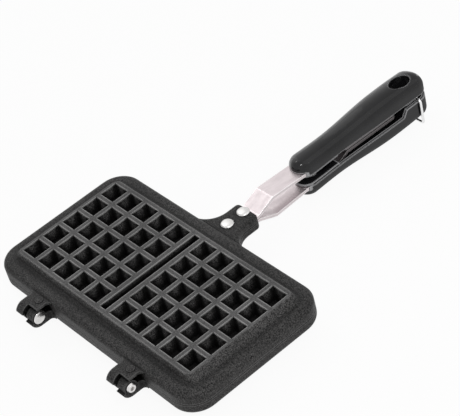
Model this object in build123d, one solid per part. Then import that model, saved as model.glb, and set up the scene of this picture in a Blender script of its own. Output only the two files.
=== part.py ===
"""Stovetop waffle iron: two identical cast plates hinged at the back, with strap handles.

One half is built in its own frame: hinge axis and parting plane at z = 0, outside face up,
handle along +Y. The upper half is lifted into place and the lower half is the same half
turned over about the Y axis, as the real castings are.
"""
import os
from math import atan, cos, degrees, hypot, radians, sin, sqrt, tan

from build123d import *

os.makedirs("parts", exist_ok=True)

# ---------------------------------------------------------------- driving dimensions (mm)
# Waffle grid: square pegs inside, hollow from outside as square pits.
cell_pitch = 19.0
cells_across = 5
cells_deep = 5
waffle_gap = 11.5            # extra space between the two waffles, on top of one pitch
pit_mouth = 14.7
pit_taper = 12.0             # degrees per side
pit_floor = 2.4
pit_lip = 0.35               # broken edge round pits and groove
channel_floor = 2.6          # flat between two pegs at the root
peg_taper = 10.0
peg_tip_gap = 2.3            # from the parting plane to a peg's tip
border_channel = 2.2         # between the outer pegs and the cavity wall
web = 3.0                    # metal between the outer face and the channel floor

# Groove that parts the two waffles; a ridge inside carries it.
groove_width = 5.9
groove_depth = 9.0
groove_taper = 10.0
ridge_wall = 2.1
ridge_tip_gap = 1.0

# Plate: raised block on a flange whose lands meet at the parting plane.
block_height = 15.3          # parting plane to outer face
block_edge = 2.3             # flat between the outer pits and the block's top edge
block_draft_x = 6.5          # run-out of the end walls
block_draft_y = 2.8          # run-out of the side walls
block_corner = 5.0
block_edge_radius = 0.9
block_foot_radius = 2.4
flange_length = 233.0
flange_width = 128.0
flange_height = 9.8
flange_corner = 20.0
flange_radius = 4.5
land_gap = 0.5               # between the two flanges when shut

# Hinge: one finger of each plate beside the other, under the other's shelf.
hinge_spacing = 109.2
hinge_offset = 74.8          # hinge axis behind the plate's centre
knuckle_radius = 8.0
relief_radius = 5.8
shelf_clearance = 0.3
finger_width = 7.9
finger_gap = 2.0
lug_root_radius = 3.0
opening_angle = 105.0
stop_clearance = 2.0         # degrees left at the stop
pin_radius = 2.4
pin_clearance = 0.08
pin_end_play = 0.15         # beside the upper plate's finger
pin_head_radius = 4.8
pin_head_height = 1.9
pin_tail_radius = 3.9
pin_tail_height = 1.6
pin_tail_bore = 1.7
pin_tail_bore_depth = 2.6
gate_radius = 3.2
gate_height = 0.4

# Tang that carries the strap.
tang_width = 23.4
tang_height = 7.0
tang_length = 30.0           # beyond the flange
tang_root_radius = 18.0
tang_edge_radius = 3.0
tang_end_radius = 3.6

# Strap from the tang into the grip.
strap_width = 18.0
strap_thickness = 2.5
strap_inset = 0.5            # inner face from the parting plane, in the tang
strap_side_clearance = 0.15
strap_start = 2.5            # beyond the flange edge
strap_bend = 1.8             # first bend beyond the tang's end
strap_rise_length = 16.0
strap_rise = 6.8
strap_converge = 2.6         # degrees back towards the parting plane
strap_bend_radius = 3.0
tongue_shoulder = 150.0      # from the plate's centre
tongue_flat = 152.0          # from here on it runs level
tongue_knee = 180.0
tongue_level = 190.0         # from here on it lies beside its twin
tongue_gap = 0.4             # inner face from the parting plane there
tongue_end = 242.4
tongue_width = 15.2
tongue_end_width = 17.6
tongue_corner = 4.0

# Rivets through tang and strap.
rivet_first = 9.0            # from the flange edge
rivet_spacing = 16.1
rivet_radius = 2.5
rivet_head_radius = 5.1
rivet_head_height = 1.9
rivet_flare_radius = 3.6
rivet_flare_height = 1.1

# Grip: a deep half shell, open towards its twin.
grip_start = 141.0           # from the plate's centre
grip_end = 276.4
grip_rim = 5.2               # rim from the parting plane
grip_nose_half = 11.2
grip_waist_half = 10.9
grip_waist_at = 182.0
grip_swell_half = 12.3
grip_swell_at = 222.0
grip_tail_half = 13.0
grip_tail_depth = 10.2       # half oval that ends the plan
grip_top_nose = 17.3         # back from the parting plane
grip_top_waist = 16.1
grip_top_swell = 18.5
grip_top_tail = 16.8
grip_round = 7.0
grip_wall = 2.6
grip_rim_radius = 0.5
slot_clearance = 0.3
floor_low = 3.6              # floor that closes the nose below the strap, from the parting plane
floor_inset = 1.0
floor_end = 178.0
hole_width = 14.0
hole_length = 19.0
hole_at = 257.3
hole_wall = 2.0
hole_edge_radius = 0.8

# Screws that hold each grip on its tongue.
screw_at = (157.0, 231.0)
screw_radius = 1.9
screw_head_radius = 3.5
screw_head_height = 1.6
screw_length = 9.0
pillar_radius = 4.2

# Bail in the lower grip, which rises between the rims as ears round the tail.
bail_wire = 1.1
bail_clearance = 0.08
bail_at = 263.0
bail_above = 1.7             # pivot above the parting plane
bail_drop = 22.3
bail_side_gap = 0.5
bail_bend_radius = 2.0
bail_end_wall = 0.6          # between a wire end and the hanging hole
ear_start = 246.0
ear_slope = 4.0
ear_rise = 0.6               # above the parting plane
ear_notch = 0.5              # round the wire
boss_wall = 1.5

# ---------------------------------------------------------------- worked-out places
parting_z = block_height
waffle_step = cells_across * cell_pitch + waffle_gap
peg_root = cell_pitch - channel_floor
floor_z = block_height - web
land_z = land_gap / 2
pit_depth = block_height - peg_tip_gap - pit_floor
grid_half_x = waffle_step / 2 + (cells_across - 1) / 2 * cell_pitch
grid_half_y = (cells_deep - 1) / 2 * cell_pitch
block_length = 2 * grid_half_x + pit_mouth + 2 * block_edge
block_width = 2 * grid_half_y + pit_mouth + 2 * (block_edge + 1.7)
flange_edge = flange_width / 2
tang_end = flange_edge + tang_length
rivet_places = (flange_edge + rivet_first, flange_edge + rivet_first + rivet_spacing)
finger_outer = finger_gap / 2 + finger_width
shelf_z = relief_radius + shelf_clearance
pit_lip_mouth = pit_mouth + 2 * pit_lip
groove_lip_width = groove_width + 2 * pit_lip
ear_base = -ear_rise
overlap = 2.0                # how far joined features run into each other


def box_between(low, high):
    """A box from its lowest to its highest corner."""
    size = [b - a for a, b in zip(low, high)]
    centre = [(a + b) / 2 for a, b in zip(low, high)]
    return Pos(*centre) * Box(*size)


def side_prism(points, half_width):
    """A prism along X of an outline given as (y, z) points."""
    outline = Polyline(*points, close=True)
    face = Plane.YZ * make_face(outline)
    return extrude(face, amount=half_width, both=True)


def frustum(length, width, height, taper, z, upwards):
    """A drafted block whose larger face lies at z."""
    direction = 1 if upwards else -1
    plane = Plane((0, 0, z), x_dir=(1, 0, 0), z_dir=(0, 0, direction))
    return extrude(plane * Rectangle(length, width), amount=height, taper=taper)


def grid_places():
    """Centres of all the cells of both waffles."""
    places = []
    for waffle in (-1, 1):
        for column in range(cells_across):
            for row in range(cells_deep):
                x = waffle * waffle_step / 2 + (column - (cells_across - 1) / 2) * cell_pitch
                y = (row - (cells_deep - 1) / 2) * cell_pitch
                places.append((x, y))
    return places


# ---------------------------------------------------------------- the casting
def flange():
    """Rounded flange with a softened outer edge."""
    outline = RectangleRounded(flange_length, flange_width, flange_corner)
    body = extrude(Plane.XY.offset(land_z) * outline, amount=flange_height - land_z)
    top_edges = body.faces().sort_by(Axis.Z)[-1].edges()
    return fillet(top_edges, flange_radius)


def raised_block():
    """Drafted block above the flange, wider at its foot."""
    foot_z = flange_height - overlap
    reach = overlap / (block_height - flange_height)
    foot_x = block_length + 2 * block_draft_x * (1 + reach)
    foot_y = block_width + 2 * block_draft_y * (1 + reach)
    foot = Plane.XY.offset(foot_z) * RectangleRounded(foot_x, foot_y, 2 * block_corner)
    top = Plane.XY.offset(block_height) * RectangleRounded(block_length, block_width, block_corner)
    body = loft([foot, top], ruled=True)
    top_edges = body.faces().sort_by(Axis.Z)[-1].edges()
    return fillet(top_edges, block_edge_radius)


def tang():
    """Flat tongue of the casting with large concave roots."""
    half = tang_width / 2
    start_y = flange_edge - 2 * tang_edge_radius
    root_y = flange_edge + tang_root_radius
    reach = half + tang_root_radius
    outline = Pos(0, (start_y + tang_end) / 2) * Rectangle(tang_width, tang_end - start_y)
    outline = outline + Pos(0, (start_y + root_y) / 2) * Rectangle(2 * reach, root_y - start_y)
    for side in (-1, 1):
        outline = outline - Pos(side * reach, root_y) * Circle(tang_root_radius)
    body = extrude(Plane.XY.offset(land_z) * outline, amount=tang_height - land_z)
    corners = body.edges().filter_by(Axis.Z).group_by(Axis.Y)[-1]
    body = fillet(corners, tang_end_radius)
    rim = body.faces().sort_by(Axis.Z)[-1].edges()
    rim = rim.filter_by(lambda e: (e @ 0.5).Y > flange_edge + 0.1)
    return fillet(rim, tang_edge_radius)


def hinge_lug(centre_x):
    """Finger with its knuckle, and the shelf that covers the other plate's finger."""
    axis_y = -hinge_offset
    root_y = -flange_edge + overlap
    sweep = opening_angle + stop_clearance
    stop = radians(90 + sweep)
    # The outer radius stops where the other plate's shelf comes to rest.
    wedge_reach = 2 * knuckle_radius
    sector = Polyline(
        (axis_y, 0),
        (axis_y + wedge_reach, 0),
        (axis_y + wedge_reach, wedge_reach),
        (axis_y - wedge_reach, wedge_reach),
        (axis_y + wedge_reach * cos(stop), -wedge_reach * sin(stop)),
        close=True,
    )
    knuckle = Pos(axis_y, 0) * Circle(knuckle_radius) & make_face(sector)
    profile = knuckle + Pos(axis_y, 0) * Circle(relief_radius)
    arm = Polyline(
        (axis_y, land_z), (root_y, land_z), (root_y, knuckle_radius), (axis_y, knuckle_radius), close=True
    )
    profile = profile + make_face(arm)
    finger = extrude(Plane.YZ.offset(centre_x - finger_outer) * profile, amount=finger_width)
    shelf = box_between(
        (centre_x - finger_outer, axis_y, shelf_z), (centre_x + finger_outer, root_y, knuckle_radius)
    )
    gate = Pos(centre_x + finger_gap, -flange_edge - gate_radius, knuckle_radius) * Cylinder(
        gate_radius, 2 * gate_height
    )
    return finger + shelf + gate + lug_roots(centre_x)


def lug_roots(centre_x):
    """Concave corners where the lug leaves the flange."""
    roots = []
    for side, low_z in ((-1, land_z), (1, shelf_z)):
        corner_x = centre_x + side * finger_outer
        far_x = corner_x + side * lug_root_radius
        edge_y = -flange_edge
        block = box_between(
            (min(corner_x, far_x) - 0.5, edge_y - lug_root_radius, low_z),
            (max(corner_x, far_x) + 0.5, edge_y + overlap, knuckle_radius),
        )
        cutter = Pos(far_x, edge_y - lug_root_radius, knuckle_radius / 2)
        cutter = cutter * Cylinder(lug_root_radius, 2 * knuckle_radius)
        beyond = box_between(
            (far_x if side > 0 else far_x - 1, edge_y - 2 * lug_root_radius, 0),
            (far_x + 1 if side > 0 else far_x, edge_y, 2 * knuckle_radius),
        )
        roots.append(block - cutter - beyond)
    return roots


def casting():
    """One plate, complete."""
    body = flange() + raised_block()
    foot = body.edges().filter_by(lambda e: abs(e.center().Z - flange_height) < 0.01)
    foot = foot.filter_by(lambda e: abs(e.center().X) < flange_length / 2 - flange_radius - 1)
    foot = foot.filter_by(lambda e: abs(e.center().Y) < flange_width / 2 - flange_radius - 1)
    body = fillet(foot, block_foot_radius)
    body = body + tang()
    for side in (-1, 1):
        body = body + hinge_lug(side * hinge_spacing / 2)

    # Cavity for the batter, with the pegs and the ridge left standing in it.
    cavity_depth = floor_z - land_z
    spread = 2 * cavity_depth * tan(radians(peg_taper))
    cavity_x = 2 * grid_half_x + peg_root + 2 * border_channel + spread
    cavity_y = 2 * grid_half_y + peg_root + 2 * border_channel + spread
    body = body - frustum(cavity_x, cavity_y, cavity_depth, peg_taper, land_z, True)
    peg = frustum(peg_root, peg_root, floor_z - peg_tip_gap, peg_taper, floor_z, False)
    pegs = [Pos(x, y) * peg for x, y in grid_places()]
    groove_at_floor = groove_width - 2 * web * tan(radians(groove_taper))
    ridge_width = groove_at_floor + 2 * ridge_wall
    ridge = frustum(ridge_width, cavity_y + overlap, floor_z - ridge_tip_gap, groove_taper, floor_z, False)
    ridge = ridge & box_between((-cell_pitch, -cavity_y / 2, 0), (cell_pitch, cavity_y / 2, block_height))
    body = body + pegs + ridge

    # Pits and groove from outside.
    pit = frustum(pit_mouth, pit_mouth, pit_depth, pit_taper, block_height, False)
    pits = [Pos(x, y) * pit for x, y in grid_places()]
    groove_length = 2 * grid_half_y + pit_mouth
    groove = frustum(groove_width, groove_length, groove_depth, groove_taper, block_height, False)
    lip = frustum(pit_lip_mouth, pit_lip_mouth, pit_lip, 45.0, block_height, False)
    lips = [Pos(x, y) * lip for x, y in grid_places()]
    groove_lip = frustum(groove_lip_width, groove_length + 2 * pit_lip, pit_lip, 45.0, block_height, False)
    body = body - pits - groove - lips - groove_lip

    # Pocket for the strap, rivet holes and hinge bores.
    pocket_half = strap_width / 2 + strap_side_clearance
    pocket_top = strap_inset + strap_thickness
    pocket_y = flange_edge + strap_start - strap_side_clearance
    body = body - box_between((-pocket_half, pocket_y, -1), (pocket_half, tang_end + 1, pocket_top))
    for y in rivet_places:
        body = body - Pos(0, y, tang_height) * Cylinder(rivet_radius, 2 * tang_height)
    bore = Plane.YZ * Pos(-hinge_offset, 0) * Circle(pin_radius + pin_clearance)
    return body - extrude(bore, amount=flange_length, both=True)


# ---------------------------------------------------------------- straps and rivets
def strap_line():
    """Outer face of the strap as (y, z) points."""
    flat_z = strap_inset + strap_thickness
    bend_y = tang_end + strap_bend
    top_y = bend_y + strap_rise_length
    top_z = flat_z + strap_rise
    knee_z = top_z - (tongue_flat - top_y) * tan(radians(strap_converge))
    level_z = tongue_gap + strap_thickness
    return [
        (flange_edge + strap_start, flat_z),
        (bend_y, flat_z),
        (top_y, top_z),
        (tongue_flat, knee_z),
        (tongue_knee, knee_z),
        (tongue_level, level_z),
        (tongue_end, level_z),
    ]


def strap_outer(y):
    """Height and fall in degrees of the strap's outer face at y."""
    line = strap_line()
    for (y0, z0), (y1, z1) in zip(line, line[1:]):
        if y <= y1:
            break
    slope = (z1 - z0) / (y1 - y0)
    return z0 + (y - y0) * slope, degrees(atan(-slope))


def offset_line(points, distance):
    """The same polyline moved square to itself, with mitred corners."""
    normals = []
    for (y0, z0), (y1, z1) in zip(points, points[1:]):
        length = hypot(y1 - y0, z1 - z0)
        normals.append((-(z1 - z0) / length, (y1 - y0) / length))
    moved = [(points[0][0] + distance * normals[0][0], points[0][1] + distance * normals[0][1])]
    for point, before, after in zip(points[1:-1], normals, normals[1:]):
        share = distance / (1 + before[0] * after[0] + before[1] * after[1])
        moved.append((point[0] + share * (before[0] + after[0]), point[1] + share * (before[1] + after[1])))
    moved.append((points[-1][0] + distance * normals[-1][0], points[-1][1] + distance * normals[-1][1]))
    return moved


def strap():
    """Bent bar: flat in the tang, cranked outwards, narrowed to a tongue in the grip."""
    outer = strap_line()
    inner = offset_line(outer, -strap_thickness)
    bar = side_prism(outer + inner[::-1], strap_width / 2)
    inner_bends = {round(y, 3) for y, _ in inner[1:-1]}
    outer_bends = {round(y, 3) for y, _ in outer[1:-1]}
    bends = bar.edges().filter_by(Axis.X)
    bends = bends.filter_by(lambda e: round(e.center().Y, 3) in inner_bends | outer_bends)
    bar = fillet(bends, strap_bend_radius)

    # Plan: full width, shoulders inside the grip, a tongue that widens to a rounded end.
    half = strap_width / 2
    tongue = tongue_width / 2
    end = tongue_end_width / 2
    shoulder = half - tongue
    corners = [
        (half, flange_edge),
        (half, tongue_shoulder - shoulder),
        (tongue, tongue_shoulder),
        (tongue, tongue_level),
        (end, tongue_end),
    ]
    plan = make_face(Polyline(*corners, *[(-x, y) for x, y in corners[::-1]], close=True))
    plan = fillet(plan.vertices().group_by(Axis.Y)[-1], tongue_corner)
    bar = bar & extrude(plan, amount=2 * flange_height)
    for y in rivet_places:
        bar = bar - tail_shape(rivet_radius, rivet_flare_radius, rivet_flare_height, y)
    for y in screw_at:
        bar = bar - strap_frame(y) * screw_shape()
    return bar


def tail_shape(radius, flare_radius, flare_height, y):
    """Rivet shank below the head, flared flush with the strap's inner face."""
    shank = Pos(0, y, strap_inset) * Cylinder(
        radius, tang_height - strap_inset, align=(Align.CENTER, Align.CENTER, Align.MIN)
    )
    flare = Pos(0, y, strap_inset) * Cone(
        flare_radius, radius, flare_height, align=(Align.CENTER, Align.CENTER, Align.MIN)
    )
    return shank + flare


def dome(radius, height):
    """Low domed head standing on z = 0."""
    cap = height * 0.7
    sphere_radius = (radius**2 + cap**2) / (2 * cap)
    edge = Cylinder(radius, height, align=(Align.CENTER, Align.CENTER, Align.MIN))
    return edge & Pos(0, 0, height - sphere_radius) * Sphere(sphere_radius)


def rivet(y):
    """Rivet through tang and strap, head outside."""
    head = Pos(0, y, tang_height) * dome(rivet_head_radius, rivet_head_height)
    return head + tail_shape(rivet_radius, rivet_flare_radius, rivet_flare_height, y)


def strap_frame(y):
    """Place on the strap's inner face, z square to the strap and outwards."""
    outer_z, fall = strap_outer(y)
    centre_y = y - strap_thickness * sin(radians(fall))
    centre_z = outer_z - strap_thickness * cos(radians(fall))
    return Location((0, centre_y, centre_z), (-fall, 0, 0))


def screw_shape():
    """Countersunk screw, head face at z = 0."""
    head = Cone(
        screw_head_radius, screw_radius, screw_head_height, align=(Align.CENTER, Align.CENTER, Align.MIN)
    )
    shank = Cylinder(screw_radius, screw_length, align=(Align.CENTER, Align.CENTER, Align.MIN))
    return head + shank


# ---------------------------------------------------------------- grips
def grip_plan(inset):
    """Plan outline of the grip, moved inwards by inset."""
    nose = grip_nose_half - inset
    tail = grip_tail_half - inset
    depth = grip_tail_depth - inset
    nose_y = grip_start + grip_nose_half
    tail_y = grip_end - grip_tail_depth
    side = [
        (nose, nose_y),
        (grip_waist_half - inset, grip_waist_at),
        (grip_swell_half - inset, grip_swell_at),
        (tail, tail_y),
    ]
    mirrored = [(-x, y) for x, y in side]
    outline = Curve() + [
        Spline(side, tangents=[(0, 1), (0, 1)]),
        EllipticalCenterArc((0, tail_y), tail, depth, 0, arc_size=180),
        Spline(mirrored[::-1], tangents=[(0, -1), (0, -1)]),
        ThreePointArc((-nose, nose_y), (0, nose_y - nose), (nose, nose_y)),
    ]
    return make_face(outline)


def grip_form(inset, base_z):
    """Solid form of the grip above base_z: upright sides rolled over into the back."""
    margin = 2 * grip_tail_half
    low_y = grip_start - margin
    high_y = grip_end + margin
    back = [
        (low_y, grip_top_nose - inset),
        (grip_waist_at, grip_top_waist - inset),
        (grip_swell_at, grip_top_swell - inset),
        (high_y, grip_top_tail - inset),
    ]
    outline = Curve() + [
        Spline(back, tangents=[(1, 0), (1, 0)]),
        Polyline(back[-1], (high_y, base_z), (low_y, base_z), back[0]),
    ]
    envelope = extrude(Plane.YZ.offset(-margin) * make_face(outline), amount=2 * margin)
    column = extrude(Plane.XY.offset(base_z) * grip_plan(inset), amount=grip_top_swell + margin)
    body = column & envelope
    top_edges = body.faces().sort_by(Axis.Z)[-1].edges()
    return fillet(top_edges, grip_round - inset)


def hanging_hole(wall, base_z):
    """Oval column of the hanging hole, or of the tube round it."""
    oval = Pos(0, hole_at, base_z) * Ellipse(hole_width / 2 + wall, hole_length / 2 + wall)
    return extrude(oval, amount=2 * grip_top_swell)


def is_hole_mouth(edge):
    """Whether an edge of the grip's back runs round the hanging hole."""
    across = hole_width / 2
    along = hole_length / 2
    for share in (0, 0.5, 1):
        point = edge @ share
        reach = hypot(point.X / across, (point.Y - hole_at) / along)
        if abs(reach - 1) > 0.01 or point.Z < grip_top_tail - grip_wall:
            return False
    return True


def nose_floor():
    """Floor under the strap in the nose, with a hole for reaching the front screw."""
    top_z = strap_outer(tongue_knee)[0] - strap_thickness - slot_clearance
    high_z = grip_rim + 1
    floor = extrude(Plane.XY.offset(floor_low) * grip_plan(floor_inset), amount=high_z - floor_low)
    floor = floor & box_between((-strap_width, 0, 0), (strap_width, floor_end, high_z))
    slot_half = strap_width / 2 + slot_clearance
    tongue_half = tongue_width / 2 + slot_clearance
    slot_end = tongue_shoulder + slot_clearance
    floor = floor - box_between((-slot_half, 0, top_z), (slot_half, slot_end, high_z + 1))
    floor = floor - box_between((-tongue_half, 0, top_z), (tongue_half, floor_end + 1, high_z + 1))
    return floor - Pos(0, screw_at[0], 0) * Cylinder(screw_head_radius + slot_clearance, 2 * high_z)


def grip(with_ears):
    """Half shell with a tube for hanging, two screw pillars and a slot for the strap."""
    shell = grip_form(0, grip_rim) - grip_form(grip_wall, grip_rim - 1)
    rim = shell.faces().filter_by(Axis.Z).sort_by(Axis.Z)[0]
    shell = fillet(rim.outer_wire().edges(), grip_rim_radius)
    base_z = grip_rim
    if with_ears:
        base_z = ear_base
        band = grip_plan(0) - grip_plan(grip_wall)
        ring = extrude(Plane.XY.offset(base_z) * band, amount=grip_rim + 1 - base_z)
        ear_profile = [
            (ear_start, grip_rim + 1),
            (ear_start, grip_rim),
            (ear_start + ear_slope, base_z),
            (grip_end + 1, base_z),
            (grip_end + 1, grip_rim + 1),
        ]
        shell = shell + (ring & side_prism(ear_profile, 2 * grip_tail_half))
    posts = hanging_hole(hole_wall, base_z) & grip_form(grip_wall / 2, base_z)
    line = [(grip_start, strap_outer(grip_start)[0])] + strap_line()[3:]
    line = line + [(grip_end, line[-1][1]), (grip_end, -grip_end), (grip_start, -grip_end)]
    below_strap = side_prism(line, grip_tail_half)
    for y in screw_at:
        pillar = Pos(0, y, 0) * Cylinder(pillar_radius, 4 * grip_top_swell) & grip_form(grip_wall / 2, 0)
        posts = posts + (pillar - below_strap)
    if with_ears:
        boss = Cylinder(bail_wire + boss_wall, 2 * (hole_width / 2 + hole_wall), rotation=(0, 90, 0))
        posts = posts + Pos(0, bail_at, -bail_above) * boss
    shell = shell + posts - hanging_hole(0, -2 * grip_top_swell) - hanging_hole(0, base_z)
    shell = fillet(shell.edges().filter_by(is_hole_mouth), hole_edge_radius)
    slot_half = strap_width / 2 + slot_clearance
    slot = box_between(
        (-slot_half, grip_start - 1, grip_rim - 1),
        (slot_half, tongue_shoulder + slot_clearance, strap_outer(grip_start)[0] + slot_clearance),
    )
    shell = shell - slot + nose_floor()
    for y in screw_at:
        shell = shell - strap_frame(y) * screw_shape()
    if with_ears:
        pivot = Pos(0, bail_at, -bail_above)
        ends = bail_stub_end() - bail_end_wall / 2
        bore = pivot * Cylinder(bail_wire + bail_clearance, 4 * grip_tail_half, rotation=(0, 90, 0))
        notch = pivot * Cylinder(bail_wire + ear_notch, 4 * grip_tail_half, rotation=(0, 90, 0))
        tube_half = hole_width / 2 + hole_wall
        inner = box_between((-ends, 0, -grip_rim), (ends, grip_end, grip_rim))
        middle = box_between((-tube_half, 0, -grip_rim), (tube_half, grip_end, grip_rim))
        shell = shell - (bore - inner) - (notch - middle)
    return shell


# ---------------------------------------------------------------- hinge pins and bail
def hinge_pin(centre_x, head_side):
    """Semi-tubular pin: domed head on one face of the hinge, rolled tail on the other."""
    low_x = centre_x - finger_outer - pin_end_play
    high_x = centre_x + finger_outer
    length = high_x - low_x
    upright = (Align.CENTER, Align.CENTER, Align.MIN)
    shank = Cylinder(pin_radius, length, align=upright)
    head = Pos(0, 0, length) * dome(pin_head_radius, pin_head_height)
    tail = Pos(0, 0, -pin_tail_height) * Cone(
        pin_tail_radius - pin_tail_height / 2, pin_tail_radius, pin_tail_height, align=upright
    )
    bore = Pos(0, 0, -pin_tail_height) * Cylinder(pin_tail_bore, pin_tail_bore_depth, align=upright)
    body = shank + head + tail - bore
    tail_x = low_x if head_side > 0 else high_x
    return Pos(tail_x, -hinge_offset, parting_z) * Rotation(0, 90 * head_side, 0) * body


def bail_stub_end():
    """Half distance between the wire's two ends, just outside the hanging hole."""
    share = (bail_at - hole_at) / (hole_length / 2)
    return hole_width / 2 * sqrt(1 - share**2) + bail_end_wall


def bail():
    """Wire loop that hangs round the lower grip and swings up over the upper one."""
    pivot_z = parting_z + bail_above
    arm_x = grip_tail_half + bail_side_gap + bail_wire
    stub_x = bail_stub_end()
    cross_z = pivot_z - bail_drop
    path = FilletPolyline(
        (-stub_x, bail_at, pivot_z),
        (-arm_x, bail_at, pivot_z),
        (-arm_x, bail_at, cross_z),
        (arm_x, bail_at, cross_z),
        (arm_x, bail_at, pivot_z),
        (stub_x, bail_at, pivot_z),
        radius=bail_bend_radius,
    )
    return sweep(Plane(path @ 0, z_dir=path % 0) * Circle(bail_wire), path=path)


# ---------------------------------------------------------------- assembly
upper_place = Location((0, 0, parting_z))
lower_place = Location((0, 0, parting_z), (0, 180, 0))
halves = {"upper": upper_place, "lower": lower_place}

plate = casting()
bar = strap()
pieces = {"top_plate": upper_place * plate, "bottom_plate": lower_place * plate}
for half, place in halves.items():
    pieces[f"{half}_strap"] = place * bar
    for name, y in zip(("front", "rear"), rivet_places):
        pieces[f"{half}_tang_rivet_{name}"] = place * rivet(y)
    for name, y in zip(("front", "rear"), screw_at):
        pieces[f"{half}_grip_screw_{name}"] = place * strap_frame(y) * screw_shape()
pieces["upper_grip"] = upper_place * grip(with_ears=False)
pieces["lower_grip"] = lower_place * grip(with_ears=True)
pieces["hinge_pin_left"] = hinge_pin(-hinge_spacing / 2, 1)
pieces["hinge_pin_right"] = hinge_pin(hinge_spacing / 2, -1)
pieces["bail"] = bail()

for name, piece in pieces.items():
    export_step(piece, f"parts/{name}.step")
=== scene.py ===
import math

import bmesh
import bpy
from mathutils import Matrix, Vector


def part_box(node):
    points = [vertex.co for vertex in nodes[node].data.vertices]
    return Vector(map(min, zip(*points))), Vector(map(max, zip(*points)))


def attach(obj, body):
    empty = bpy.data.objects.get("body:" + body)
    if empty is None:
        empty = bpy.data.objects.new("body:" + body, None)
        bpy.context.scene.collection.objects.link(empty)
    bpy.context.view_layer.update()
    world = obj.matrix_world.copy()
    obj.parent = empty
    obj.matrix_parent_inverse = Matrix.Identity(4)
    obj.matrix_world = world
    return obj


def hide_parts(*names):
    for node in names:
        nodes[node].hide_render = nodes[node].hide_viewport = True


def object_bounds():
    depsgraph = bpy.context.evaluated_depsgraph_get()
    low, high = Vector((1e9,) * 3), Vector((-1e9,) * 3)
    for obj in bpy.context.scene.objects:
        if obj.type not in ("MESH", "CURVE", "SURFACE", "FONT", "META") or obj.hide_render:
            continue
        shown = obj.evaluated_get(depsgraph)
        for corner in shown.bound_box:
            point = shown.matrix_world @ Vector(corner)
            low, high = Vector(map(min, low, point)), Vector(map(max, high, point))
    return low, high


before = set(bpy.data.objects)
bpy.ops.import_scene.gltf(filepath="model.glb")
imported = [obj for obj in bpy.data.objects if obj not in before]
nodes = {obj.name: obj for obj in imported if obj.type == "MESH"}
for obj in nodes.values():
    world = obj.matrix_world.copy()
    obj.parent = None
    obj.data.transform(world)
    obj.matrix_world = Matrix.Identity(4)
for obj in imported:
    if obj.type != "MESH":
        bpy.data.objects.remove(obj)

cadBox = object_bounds()
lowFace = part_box("bottom_plate")[0][2]
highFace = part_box("top_plate")[1][2]
print("frame loaded:", len(nodes), "pieces")


def setSocket(tree, socket, value):
    # value is a plain one, or the output of another node
    if isinstance(value, bpy.types.NodeSocket):
        tree.links.new(value, socket)
    else:
        socket.default_value = value


def feed(tree, node, **inputs):
    for name, value in inputs.items():
        setSocket(tree, node.inputs[name.replace("_", " ")], value)


def addNode(tree, kind, settings=None, **inputs):
    node = tree.nodes.new(kind)
    for key, value in (settings or {}).items():
        setattr(node, key, value)
    feed(tree, node, **inputs)
    return node


def calc(tree, operation, *terms):
    node = addNode(tree, "ShaderNodeMath", {"operation": operation})
    for socket, term in zip(node.inputs, terms):
        setSocket(tree, socket, term)
    return node.outputs["Value"]


def spread(tree, value, given, wanted=(0.0, 1.0)):
    # the given span becomes the wanted one, and nothing passes its ends
    node = addNode(
        tree, "ShaderNodeMapRange", Value=value,
        From_Min=given[0], From_Max=given[1], To_Min=wanted[0], To_Max=wanted[1],
    )
    return node.outputs["Result"]


def noise(tree, place, kind):
    scale, detail, roughness = kind
    node = addNode(
        tree, "ShaderNodeTexNoise", Vector=place, Scale=scale, Detail=detail, Roughness=roughness
    )
    return node.outputs["Fac"]


def mixColours(tree, low, high, factor):
    low = low if isinstance(low, bpy.types.NodeSocket) else (*low, 1)
    node = addNode(
        tree, "ShaderNodeMix", {"data_type": "RGBA"}, A=low, B=(*high, 1), Factor=factor
    )
    return node.outputs["Result"]


def scaled(tree, colour, level):
    node = addNode(tree, "ShaderNodeVectorMath", {"operation": "SCALE"}, Vector=colour, Scale=level)
    return node.outputs["Vector"]


def startMaterial(name):
    material = bpy.data.materials.new(name)
    material.use_nodes = True
    tree = material.node_tree
    tree.nodes.clear()
    shader = tree.nodes.new("ShaderNodeBsdfPrincipled")
    addNode(tree, "ShaderNodeOutputMaterial", Surface=shader.outputs["BSDF"])
    place = tree.nodes.new("ShaderNodeTexCoord").outputs["Object"]
    return material, tree, shader, place


edges = {
    "span": (0.90, 0.70),       # openness behind an open face, and behind a sharp edge
    "openSamples": 8,
    "roundSamples": 6,
}


def edgeLevel(tree, reach, most):
    # 0 on open faces, up to most on outward edges
    behind = addNode(
        tree, "ShaderNodeAmbientOcclusion",
        {"inside": True, "only_local": True, "samples": edges["openSamples"]}, Distance=reach,
    )
    return spread(tree, behind.outputs["AO"], edges["span"], (0.0, most))


def paintedShadeLevel(tree, reach, span, least):
    # painted shade: 1 on open faces, down to least where faces close in
    before = addNode(
        tree, "ShaderNodeAmbientOcclusion", {"samples": edges["openSamples"]}, Distance=reach
    )
    return spread(tree, before.outputs["AO"], span, (least, 1.0))


def relief(tree, height, strength, depth, edgeRound):
    # edges look rounded, with a fine relief over them
    rounded = addNode(
        tree, "ShaderNodeBevel", {"samples": edges["roundSamples"]}, Radius=edgeRound
    )
    bump = addNode(
        tree, "ShaderNodeBump", Strength=strength, Distance=depth, Height=height,
        Normal=rounded.outputs["Normal"],
    )
    return bump.outputs["Normal"]


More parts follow.
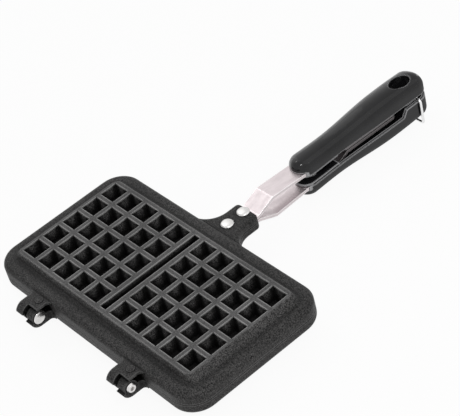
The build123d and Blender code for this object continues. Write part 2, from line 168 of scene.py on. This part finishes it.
coat = {
    "dark": (0.0010, 0.0010, 0.0012),
    "light": (0.057, 0.0554, 0.0550),
    "fleck": (0.11, 0.108, 0.106),
    "ground": (0.066, 0.0652, 0.0656),     # the ribs' faces, ground flat under the coat
    "edge": (0.38, 0.377, 0.374),
    "grain": (900, 3.0, 0.7),       # cells per metre, detail and roughness of a noise
    "specks": (1500, 0.0, 0.5),
    "clouds": (26, 3.0, 0.5),
    "grainSpan": (0.38, 0.66),      # from dark to light
    "groundFrom": 0.00015,          # below the outer face
    "mottleSpan": (0.3, 0.62),
    "mottleLevel": (0.35, 1.0),
    "fleckSpan": (0.56, 0.66),
    "fleckMost": 0.6,
    "cloudSpan": (0.3, 0.7),
    "cloudLevel": (0.8, 1.15),
    "edgeRound": 0.0006,
    "edgeReach": 0.0016,
    "edgeMost": 0.9,
    "lipDepth": (0.0011, 0.0002),   # the pits' lips are paler, partly worn and partly a painted highlight, from this deep up to this deep
    "rim": {"X": 0.1075, "Y": 0.0555},     # past these the flange's own edge shows its wear and a painted highlight
    "rimFade": 0.001,
    "rimWearAndHighlight": 0.16,
    "stepHeight": 0.0055,
    "stepFoot": 0.0004,             # the step's sloping side starts this far above the flange
    "paintedStepSheen": (0.95, 1.35),      # on the flange, and from the step's side up
    # painted shade down in the pits and along the foot of every step
    "pits": {"reach": 0.007, "span": (0.35, 0.95), "least": 0.05},
    "feet": {"reach": 0.005, "span": (0.89, 0.985), "least": 0.3},
    "roughSpan": (0.35, 0.7),
    "rough": (0.36, 0.55),
    "shine": 0.12,
    "bump": (0.6, 0.0005),          # strength, depth
}


def coatedCasting():
    material, tree, shader, place = startMaterial("coatedCasting")
    grain = noise(tree, place, coat["grain"])
    specks = noise(tree, place, coat["specks"])
    clouds = noise(tree, place, coat["clouds"])
    colour = mixColours(tree, coat["dark"], coat["light"], spread(tree, grain, coat["grainSpan"]))

    # the outer faces of both castings are ground flat and look paler
    axes = addNode(tree, "ShaderNodeSeparateXYZ", Vector=place).outputs
    half = (highFace - lowFace) / 2
    fromMiddle = calc(tree, "SUBTRACT", axes["Z"], (lowFace + highFace) / 2)
    height = calc(tree, "ABSOLUTE", fromMiddle)
    groundLevel = spread(tree, height, (half - coat["groundFrom"], half - coat["groundFrom"] / 2))
    mottle = spread(tree, grain, coat["mottleSpan"], coat["mottleLevel"])
    colour = mixColours(tree, colour, coat["ground"], calc(tree, "MULTIPLY", groundLevel, mottle))

    # bright flecks in the coat
    fleckLevel = spread(tree, specks, coat["fleckSpan"], (0.0, coat["fleckMost"]))
    colour = mixColours(tree, colour, coat["fleck"], fleckLevel)

    # the pits' lips and the rim are paler along their edges: partly worn thin coat, partly a
    # painted highlight
    wearAndHighlightPlaces = spread(tree, height, [half - depth for depth in coat["lipDepth"]])
    for axis, start in coat["rim"].items():
        aside = calc(tree, "ABSOLUTE", axes[axis])
        past = spread(tree, aside, (start, start + coat["rimFade"]), (0.0, coat["rimWearAndHighlight"]))
        wearAndHighlightPlaces = calc(tree, "MAXIMUM", past, wearAndHighlightPlaces)
    wearAndHighlight = edgeLevel(tree, coat["edgeReach"], coat["edgeMost"])
    colour = mixColours(tree, colour, coat["edge"], calc(tree, "MULTIPLY", wearAndHighlight, wearAndHighlightPlaces))

    # broad, faint unevenness, and painted light: the step, from its sloping side up, paler than the
    # flange
    cloudLevel = spread(tree, clouds, coat["cloudSpan"], coat["cloudLevel"])
    foot = half - coat["stepHeight"] + coat["stepFoot"]
    paintedStepSheen = spread(tree, height, (foot, foot + coat["stepFoot"]), coat["paintedStepSheen"])
    colour = scaled(tree, colour, calc(tree, "MULTIPLY", cloudLevel, paintedStepSheen))

    # painted shade: darker down in the pits, and along the foot of every step, where faces close in
    for hollow in ("pits", "feet"):
        colour = scaled(tree, colour, paintedShadeLevel(tree, **coat[hollow]))

    rough = spread(tree, grain, coat["roughSpan"], coat["rough"])
    normal = relief(tree, grain, *coat["bump"], coat["edgeRound"])
    feed(tree, shader, Base_Color=colour, Roughness=rough, Normal=normal)
    feed(tree, shader, Specular_IOR_Level=coat["shine"])
    return material


steel = {
    # the colour of the painted highlight along the edges
    "edge": (0.90, 0.88, 0.88),
    "edgeMost": 0.8,
    "streaks": (1.0, 5.0, 0.6),     # scale, detail and roughness of the noise
    "streakSpan": (0.32, 0.7),      # from bright to dull
    "roughSpan": (0.3, 0.7),
    "bumpStrength": 0.4,
    "hiddenFrom": 0.165,            # the straps' run inside the grips starts here
    "hiddenFade": 0.012,
    # how dark the painted shade inside the grips makes the straps
    "insideShadeLevel": 0.25,
}

# stretch is the streaks' cells per metre along each axis
metals = {
    "strapSteel": {
        "bright": (0.670, 0.608, 0.619), "dull": (0.555, 0.500, 0.511), "rough": (0.34, 0.46),
        "stretch": (220, 60, 220), "bumpDepth": 0.00001, "edgeRound": 0.00035,
    },
    "rivetMetal": {
        "bright": (0.70, 0.69, 0.68), "dull": (0.62, 0.61, 0.60), "rough": (0.22, 0.36),
        "stretch": (500, 500, 500), "bumpDepth": 0.00004, "edgeRound": 0.0004,
    },
    "screwSteel": {
        "bright": (0.70, 0.69, 0.68), "dull": (0.62, 0.61, 0.60), "rough": (0.28, 0.4),
        "stretch": (600, 600, 600), "bumpDepth": 0.00003, "edgeRound": 0.0003,
    },
    "bailWire": {
        "bright": (0.86, 0.86, 0.86), "dull": (0.78, 0.78, 0.78), "rough": (0.12, 0.22),
        "stretch": (60, 60, 60), "bumpDepth": 0.00001, "edgeRound": 0.0002,
    },
}


def metal(name):
    kind = metals[name]
    material, tree, shader, place = startMaterial(name)
    stretched = addNode(tree, "ShaderNodeMapping", Vector=place, Scale=kind["stretch"])
    streaks = noise(tree, stretched.outputs["Vector"], steel["streaks"])
    streakLevel = spread(tree, streaks, steel["streakSpan"])
    colour = mixColours(tree, kind["bright"], kind["dull"], streakLevel)
    # painted highlight along the rounded edges
    wearAndHighlight = edgeLevel(tree, 2 * kind["edgeRound"], steel["edgeMost"])
    colour = mixColours(tree, colour, steel["edge"], wearAndHighlight)
    if name == "strapSteel":
        # painted shade: the run inside the grips is darker, standing in for the shade and dark
        # reflections there
        along = addNode(tree, "ShaderNodeSeparateXYZ", Vector=place).outputs["Y"]
        fade = (steel["hiddenFrom"], steel["hiddenFrom"] + steel["hiddenFade"])
        colour = scaled(tree, colour, spread(tree, along, fade, (1.0, steel["insideShadeLevel"])))
    rough = spread(tree, streaks, steel["roughSpan"], kind["rough"])
    normal = relief(tree, streaks, steel["bumpStrength"], kind["bumpDepth"], kind["edgeRound"])
    feed(tree, shader, Base_Color=colour, Roughness=rough, Normal=normal, Metallic=1.0)
    return material


grip = {
    "black": (0.004, 0.004, 0.0048),
    "wearAndHighlight": (0.011, 0.011, 0.012),
    # the colour of the painted highlight along the rims
    "edge": (0.50, 0.50, 0.51),
    "edgeMost": 0.7,
    "rimRound": 0.0008,
    "edgeReach": 1.6,           # times rimRound
    "smears": (45.0, 4.0, 0.6),     # cells per metre, detail and roughness of a noise
    "flow": (160.0, 2.0, 0.5),
    "smearSpan": (0.35, 0.7),
    "roughSpan": (0.3, 0.7),
    "rough": (0.05, 0.12),
    "shine": 0.31,
    "bump": (0.15, 0.0004),     # strength, depth
    "crown": 30.0,              # how fast the back falls away from its middle line, per metre
    "flat": 0.0105,             # half width of the crowned back
}


def gripPlastic():
    material, tree, shader, place = startMaterial("gripPlastic")
    smears, flow = (noise(tree, place, grip[kind]) for kind in ("smears", "flow"))
    colour = mixColours(tree, grip["black"], grip["wearAndHighlight"], spread(tree, smears, grip["smearSpan"]))
    # painted highlight along the rims' rounded edges
    wearAndHighlight = edgeLevel(tree, grip["edgeReach"] * grip["rimRound"], grip["edgeMost"])
    colour = mixColours(tree, colour, grip["edge"], wearAndHighlight)
    rough = spread(tree, smears, grip["roughSpan"], grip["rough"])
    normal = relief(tree, flow, *grip["bump"], grip["rimRound"])

    # the back looks crowned, with a fall of crown times the way across squared, straight past flat
    axes = addNode(tree, "ShaderNodeSeparateXYZ", Vector=place).outputs
    across = calc(tree, "ABSOLUTE", axes["X"])
    kept = calc(tree, "MINIMUM", across, grip["flat"])
    keptFall = calc(tree, "MULTIPLY", kept, grip["crown"])
    slope = calc(tree, "MULTIPLY_ADD", across, -2 * grip["crown"], keptFall)
    fall = calc(tree, "MULTIPLY", slope, kept)
    crown = addNode(
        tree, "ShaderNodeBump", Strength=1.0, Distance=1.0, Height=fall, Normal=normal
    )
    feed(tree, shader, Base_Color=colour, Roughness=rough, Normal=crown.outputs["Normal"])
    feed(tree, shader, Specular_IOR_Level=grip["shine"])
    return material


finishes = {"coatedCasting": coatedCasting(), "gripPlastic": gripPlastic()}
finishes.update((name, metal(name)) for name in metals)

# the first of these words that is in a node's name gives its finish
finishWords = {
    "plate": "coatedCasting",
    "screw": "screwSteel",
    "grip": "gripPlastic",
    "strap": "strapSteel",
    "rivet": "rivetMetal",
    "pin": "rivetMetal",
    "bail": "bailWire",
}

for name, node in nodes.items():
    finish = next(finishes[finishWords[word]] for word in finishWords if word in name)
    for slot in node.material_slots:
        slot.material = finish
print("finishes set")


def addObject(name, data):
    thing = bpy.data.objects.new(name, data)
    bpy.context.scene.collection.objects.link(thing)
    return thing


def finishedMesh(name, shape):
    bmesh.ops.recalc_face_normals(shape, faces=shape.faces)
    mesh = bpy.data.meshes.new(name)
    shape.to_mesh(mesh)
    shape.free()
    return mesh


def turnedMesh(name, section, sides):
    # a section of (radius, height) points turned about Z
    shape = bmesh.new()
    points = [shape.verts.new((radius, 0, height)) for radius, height in section]
    lines = [shape.edges.new(pair) for pair in zip(points, points[1:])]
    bmesh.ops.spin(
        shape, geom=points + lines, cent=(0, 0, 0), axis=(0, 0, 1),
        angle=math.tau, steps=sides, use_duplicate=False,
    )
    bmesh.ops.remove_doubles(shape, verts=shape.verts, dist=1e-6)
    return finishedMesh(name, shape)


def evaluatedMesh(thing):
    depsgraph = bpy.context.evaluated_depsgraph_get()
    return bpy.data.meshes.new_from_object(thing.evaluated_get(depsgraph), depsgraph=depsgraph)


def makeRowTree():
    # copies of one fixing in a straight row, all turned alike
    tree = bpy.data.node_groups.new("rowOfFixings", "GeometryNodeTree")
    for name, kind in (
        ("Geometry", "Geometry"), ("Count", "Int"), ("First Place", "Vector"),
        ("Step", "Vector"), ("Turn", "Vector"), ("Finish", "Material"),
    ):
        tree.interface.new_socket(name=name, in_out="INPUT", socket_type=f"NodeSocket{kind}")
    tree.interface.new_socket(name="Geometry", in_out="OUTPUT", socket_type="NodeSocketGeometry")
    given = tree.nodes.new("NodeGroupInput").outputs
    row = addNode(
        tree, "GeometryNodeMeshLine", {"mode": "OFFSET"},
        Count=given["Count"], Start_Location=given["First Place"], Offset=given["Step"],
    )
    copies = addNode(
        tree, "GeometryNodeInstanceOnPoints",
        Points=row.outputs["Mesh"], Instance=given["Geometry"], Rotation=given["Turn"],
    )
    whole = addNode(tree, "GeometryNodeRealizeInstances", Geometry=copies.outputs["Instances"])
    dressed = addNode(
        tree, "GeometryNodeSetMaterial",
        Geometry=whole.outputs["Geometry"], Material=given["Finish"],
    )
    addNode(tree, "NodeGroupOutput", Geometry=dressed.outputs["Geometry"])
    return tree


rowTree = makeRowTree()

# each half of the iron: its body, and the turn about Y of its fixings
halves = {"upper": ("lid", 0.0), "lower": ("base", math.pi)}


def rowOfFixings(name, source, turn, finish, smoothAngle, hidden, body):
    feet = []
    for fixing in hidden:
        low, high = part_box(fixing)
        feet.append(Vector((0, (low.y + high.y) / 2, high.z if turn else low.z)))
    values = {
        "Count": len(feet),
        "First Place": feet[0][:],
        "Step": (feet[1] - feet[0])[:],
        "Turn": (0, turn, 0),
        "Finish": finish,
    }
    piece = addObject(name, source)
    row = piece.modifiers.new("row", "NODES")
    row.node_group = rowTree
    for item in rowTree.interface.items_tree:
        if item.in_out == "INPUT" and item.name in values:
            row[item.identifier] = values[item.name]
    mesh = evaluatedMesh(piece)
    piece.modifiers.remove(row)
    mesh.name = f"{name}Mesh"
    mesh.shade_smooth()
    mesh.set_sharp_from_angle(angle=math.radians(smoothAngle))
    piece.data = mesh
    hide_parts(*hidden)
    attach(piece, body)


tangRivet = {
    "headRadius": 0.0051,
    "headHeight": 0.0019,
    "rimShare": 0.30,       # of the head's height
    "rollShare": 0.12,      # of the head's height
    "easeShare": 0.3,       # of the roll, half way round it
    "shankRadius": 0.0025,
    "flareRadius": 0.0036,
    "flareHeight": 0.0011,
    "sides": 48,
    "domeSteps": 8,
    "smoothAngle": 40,
}


def headSection(size):
    # low dome: a short upright rim rolled over into a shallow cap
    radius, height, steps = size["headRadius"], size["headHeight"], size["domeSteps"]
    rim = height * size["rimShare"]
    roll = height * size["rollShare"]
    ease = roll * size["easeShare"]
    section = [(radius, 0), (radius, rim - roll), (radius - ease, rim - ease)]
    for step in range(steps):
        angle = math.radians(90) * step / steps
        section.append(((radius - roll) * math.cos(angle), rim + (height - rim) * math.sin(angle)))
    section.append((0, height))
    return section


def makeTangRivets():
    size = tangRivet
    for half, (body, turn) in halves.items():
        hidden = [f"{half}_tang_rivet_{place}" for place in ("front", "rear")]
        low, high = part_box(hidden[0])
        neck = high.z - low.z - size["headHeight"]
        section = [(0, 0), (size["flareRadius"], 0), (size["shankRadius"], size["flareHeight"])]
        section.append((size["shankRadius"], neck))
        section.extend((radius, neck + height) for radius, height in headSection(size))
        source = turnedMesh(f"{half}TangRivet", section, size["sides"])
        rowOfFixings(
            f"{half}TangRivets", source, turn, finishes["rivetMetal"], size["smoothAngle"],
            hidden, body,
        )


gripScrew = {
    "headRadius": 0.0035,
    "shankRadius": 0.0019,
    "headHeight": 0.0016,
    "length": 0.009,
    "edge": 0.00025,
    "crossWidth": 0.0009,
    "crossReach": 0.0019,
    "crossDepth": 0.0012,
    "crossTaper": 0.45,     # the share of its plan that the recess keeps at its floor
    "crossAbove": 0.0004,   # the cutter starts this far outside the head
    "sides": 40,
    "smoothAngle": 35,
}


def crossCutter(name, size):
    # two tapered bars, crossed
    shape = bmesh.new()
    halfWidth = size["crossWidth"] / 2
    levels = ((-size["crossAbove"], 1.0), (size["crossDepth"], size["crossTaper"]))
    for across in (False, True):
        rings = []
        for height, share in levels:
            ring = []
            for sideX, sideY in ((-1, -1), (1, -1), (1, 1), (-1, 1)):
                x, y = sideX * size["crossReach"] * share, sideY * halfWidth * share
                ring.append(shape.verts.new((y, x, height) if across else (x, y, height)))
            rings.append(ring)
        low, deep = rings
        for first, second in ((0, 1), (1, 2), (2, 3), (3, 0)):
            shape.faces.new((low[first], low[second], deep[second], deep[first]))
        shape.faces.new(low)
        shape.faces.new(deep[::-1])
    return addObject(name, finishedMesh(name, shape))


def crossedScrew(name):
    size = gripScrew
    edge, length, shank = size["edge"], size["length"], size["shankRadius"]
    section = [
        (0, 0),
        (size["headRadius"] - edge, 0),
        (size["headRadius"], edge),
        (shank, size["headHeight"]),
        (shank, length - 2 * edge),
        (shank - 2 * edge, length),
        (0, length),
    ]
    screw = addObject(f"{name}Blank", turnedMesh(name, section, size["sides"]))
    cutter = crossCutter(f"{name}Cross", size)
    cut = screw.modifiers.new("cross", "BOOLEAN")
    cut.operation = "DIFFERENCE"
    cut.solver = "EXACT"
    cut.use_self = True
    cut.object = cutter
    mesh = evaluatedMesh(screw)
    bpy.data.objects.remove(screw)
    bpy.data.objects.remove(cutter)
    return mesh


def makeGripScrews():
    for half, (body, turn) in halves.items():
        hidden = [f"{half}_grip_screw_{place}" for place in ("front", "rear")]
        source = crossedScrew(f"{half}GripScrew")
        rowOfFixings(
            f"{half}GripScrews", source, turn, finishes["screwSteel"], gripScrew["smoothAngle"],
            hidden, body,
        )


makeTangRivets()
makeGripScrews()
print("rivets and screws made")


studio = {
    "floorDrop": 0.0006,       # below the lowest piece
    "floorHalf": 6.0,
    "floorColour": (0.85, 0.85, 0.85),
    "white": 1.0,
    "shadowShare": 0.07,       # how much of the floor's shading the camera sees
    "roomLight": 0.50,
    "softboxes": (
        # place, size, power
        ((0.95, -0.25, 1.15), (0.28, 0.28), 6.5),
        ((-1.05, 0.25, 1.15), (1.2, 1.6), 2.6),
        ((0.85, 0.75, 0.9), (1.2, 1.4), 1.8),
        ((-0.72, 0.10, 1.11), (0.18, 0.18), 0.9),
        ((-0.30, 1.70, 0.16), (0.3, 0.25), 1.2),
    ),
    "softboxAim": (0.0, 0.06, 0.02),
}


def whiteShare(tree, wanted):
    # the second wanted value for rays that should see the white room itself, else the first
    path = tree.nodes.new("ShaderNodeLightPath").outputs
    seen = calc(tree, "MAXIMUM", path["Is Camera Ray"], path["Is Glossy Ray"])
    seen = calc(tree, "MAXIMUM", seen, path["Is Transmission Ray"])
    return spread(tree, seen, (0.0, 1.0), wanted)


def makeRoom():
    world = bpy.data.worlds.new("room")
    bpy.context.scene.world = world
    world.use_nodes = True
    tree = world.node_tree
    tree.nodes.clear()
    strength = whiteShare(tree, (studio["roomLight"], studio["white"]))
    back = addNode(tree, "ShaderNodeBackground", Color=(1, 1, 1, 1), Strength=strength)
    addNode(tree, "ShaderNodeOutputWorld", Surface=back.outputs["Background"])


def makeFloor():
    low = cadBox[0][2] - studio["floorDrop"]
    half = studio["floorHalf"]
    mesh = bpy.data.meshes.new("floor")
    corners = [(-half, -half, low), (half, -half, low), (half, half, low), (-half, half, low)]
    mesh.from_pydata(corners, [], [(0, 1, 2, 3)])
    floor = addObject("floor", mesh)
    material = bpy.data.materials.new("floorWhite")
    material.use_nodes = True
    tree = material.node_tree
    tree.nodes.clear()
    diffuse = addNode(tree, "ShaderNodeBsdfDiffuse", Color=(*studio["floorColour"], 1))
    glow = addNode(tree, "ShaderNodeEmission", Color=(1, 1, 1, 1), Strength=studio["white"])
    mix = addNode(
        tree, "ShaderNodeMixShader", Fac=whiteShare(tree, (0.0, 1.0 - studio["shadowShare"]))
    )
    tree.links.new(diffuse.outputs["BSDF"], mix.inputs[1])
    tree.links.new(glow.outputs["Emission"], mix.inputs[2])
    addNode(tree, "ShaderNodeOutputMaterial", Surface=mix.outputs["Shader"])
    mesh.materials.append(material)


def makeLamps():
    aim = Vector(studio["softboxAim"])
    for number, (place, size, power) in enumerate(studio["softboxes"]):
        lamp = bpy.data.lights.new(f"softbox{number}", "AREA")
        lamp.shape = "RECTANGLE"
        lamp.size, lamp.size_y = size
        lamp.energy = power
        holder = addObject(f"softbox{number}", lamp)
        holder.location = place
        holder.rotation_euler = (aim - Vector(place)).to_track_quat("-Z", "Y").to_euler()
        holder.visible_camera = False


camera = {
    "aim": (-0.0032, 0.08087, 0.0306),
    "distance": 1.34858,
    "azimuth": 58.738,         # from -Y towards +X
    "elevation": 40.767,
    "roll": -15.26,
    "lens": 142.334,
    "sensor": 36.0,
    "clip": (0.05, 30.0),
}


def makeCamera():
    azimuth = math.radians(camera["azimuth"])
    elevation = math.radians(camera["elevation"])
    back = Vector((
        math.sin(azimuth) * math.cos(elevation),
        -math.cos(azimuth) * math.cos(elevation),
        math.sin(elevation),
    ))
    right = Vector((math.cos(azimuth), math.sin(azimuth), 0))
    up = back.cross(right)
    roll = Matrix.Rotation(math.radians(camera["roll"]), 3, "Z")
    turn = Matrix((right, up, back)).transposed() @ roll
    lens = bpy.data.cameras.new("camera")
    lens.sensor_fit = "HORIZONTAL"
    lens.sensor_width = camera["sensor"]
    lens.lens = camera["lens"]
    lens.clip_start, lens.clip_end = camera["clip"]
    holder = addObject("camera", lens)
    place = Vector(camera["aim"]) + back * camera["distance"]
    holder.matrix_world = Matrix.Translation(place) @ turn.to_4x4()
    bpy.context.scene.camera = holder


makeRoom()
makeFloor()
makeLamps()
makeCamera()
bpy.context.scene.view_settings.view_transform = "Standard"
print("studio set")
